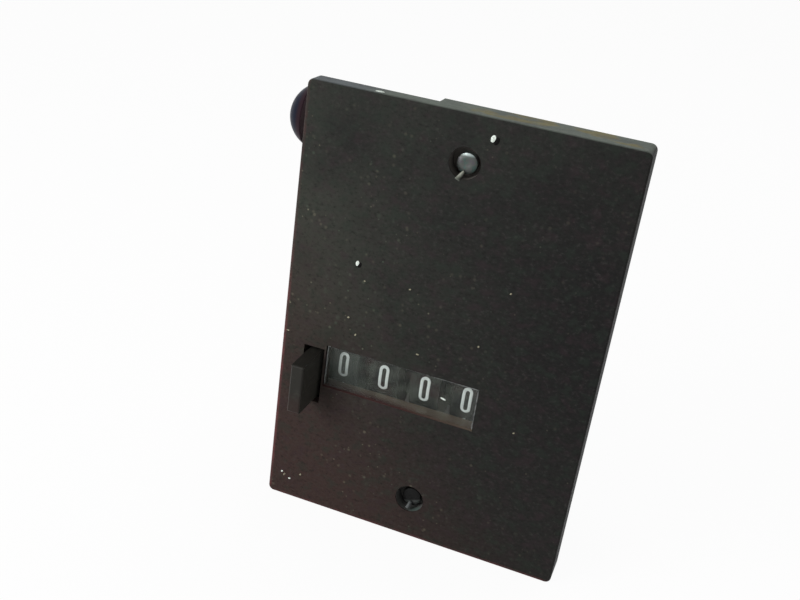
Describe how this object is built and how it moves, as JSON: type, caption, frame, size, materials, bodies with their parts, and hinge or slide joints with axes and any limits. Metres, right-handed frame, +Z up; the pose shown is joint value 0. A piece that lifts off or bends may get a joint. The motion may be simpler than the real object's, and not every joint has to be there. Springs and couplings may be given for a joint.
{
  "type": "hand_tally_counter",
  "caption": "Hand tally counter: flat dark case, four white figures in a narrow window, a push bar that resets them and a domed side button that counts",
  "frame": {"origin": "middle of the flat lower face of the case, midway through its depth", "axes": "+Z up along the case's height, -Y out of the face with the window, +X to the right as the figures are read"},
  "size_m": [0.0597, 0.0315, 0.075],
  "materials": {
    "case": "fine-grained dark brown black moulding",
    "lens": "clear acrylic",
    "screw": "nickel-plated screw",
    "button": "glossy dark navy dome",
    "steel": "turned steel",
    "plated": "zinc-plated steel sheet",
    "spring": "spring steel",
    "brass": "sintered brass",
    "wheel": "black moulded number wheel with white figures",
    "tab": "black moulded reset bar"
  },
  "bodies": {
    "case": {"front_cover": "case", "rear_shell": "case", "window_lens": "lens", "case_screws": "screw", "button_bushing": "plated", "bushing_nut": "plated", "button_spring": "spring", "guide_pins": "steel", "frame_left_plate": "plated", "frame_right_plate": "plated", "frame_bridge": "plated", "bridge_screws": "screw", "tie_rods": "steel", "frame_screws": "screw", "detent_bar": "plated", "detent_spring": "spring", "detent_screws": "screw", "reset_guides": "steel", "idler_stud": "steel", "reset_spring": "spring", "spring_rod": "steel"},
    "button": {"count_button": "button", "button_stem": "steel", "stem_clip": "spring", "count_slide": "plated", "slide_pin": "steel"},
    "pusher": {"pusher": "plated", "cam_pin": "steel", "pawl_pivot": "steel", "pivot_clips": "spring", "pawl_spring": "spring"},
    "pawls": {"pawl_comb": "brass"},
    "units": {"units_wheel": "wheel", "units_reset_finger": "spring"},
    "tens": {"tens_wheel": "wheel", "tens_reset_finger": "spring"},
    "hundreds": {"hundreds_wheel": "wheel", "hundreds_reset_finger": "spring"},
    "thousands": {"thousands_wheel": "wheel", "thousands_reset_finger": "spring"},
    "shaft": {"wheel_shaft": "steel", "shaft_pinion": "brass", "shaft_clip": "spring"},
    "idler": {"idler_gear": "brass"},
    "reset": {"reset_bar": "tab"}
  },
  "joints": [
    {"name": "count_press", "type": "slide", "parent": "case", "child": "button", "axis": [1, 0, 0], "range_m": [0, 0.004], "stiffness_N_per_m": 300, "springref_m": -0.003, "deforming": ["button_spring"]},
    {"name": "pusher_stroke", "type": "slide", "parent": "case", "child": "pusher", "axis": [0, 0, -1], "range_m": [0, 0.004]},
    {"name": "pawl_swing", "type": "hinge", "parent": "pusher", "child": "pawls", "pos_m": [0, 0.0072, 0.042], "axis": [1, 0, 0], "range_deg": [0, 4], "stiffness_Nm_per_rad": 0.002, "springref_deg": -17.19, "deforming": ["pawl_spring"]},
    {"name": "units_turn", "type": "hinge", "parent": "case", "child": "units", "pos_m": [0, -0.0001, 0.0276], "axis": [-1, 0, 0], "continuous": true, "deforming": ["units_reset_finger", "detent_spring"]},
    {"name": "tens_turn", "type": "hinge", "parent": "case", "child": "tens", "pos_m": [0, -0.0001, 0.0276], "axis": [-1, 0, 0], "continuous": true, "deforming": ["tens_reset_finger"]},
    {"name": "hundreds_turn", "type": "hinge", "parent": "case", "child": "hundreds", "pos_m": [0, -0.0001, 0.0276], "axis": [-1, 0, 0], "continuous": true, "deforming": ["hundreds_reset_finger"]},
    {"name": "thousands_turn", "type": "hinge", "parent": "case", "child": "thousands", "pos_m": [0, -0.0001, 0.0276], "axis": [-1, 0, 0], "continuous": true, "deforming": ["thousands_reset_finger"]},
    {"name": "reset_push", "type": "slide", "parent": "case", "child": "reset", "axis": [0, 1, 0], "range_m": [0, 0.00503], "stiffness_N_per_m": 200, "springref_m": -0.003, "deforming": ["reset_spring"]},
    {"name": "idler_turn", "type": "hinge", "parent": "case", "child": "idler", "pos_m": [0, 0.00351, 0.0216], "axis": [1, 0, 0], "continuous": true},
    {"name": "shaft_turn", "type": "hinge", "parent": "case", "child": "shaft", "pos_m": [0, -0.0001, 0.0276], "axis": [-1, 0, 0], "continuous": true}
  ],
  "couplings": [
    {"joint": "pusher_stroke", "follows": "count_press", "ratio": 1},
    {"joint": "units_turn", "follows": "count_press", "rad_per_m": 157.08},
    {"joint": "idler_turn", "follows": "reset_push", "rad_per_m": 500},
    {"joint": "shaft_turn", "follows": "reset_push", "rad_per_m": 1250}
  ]
}
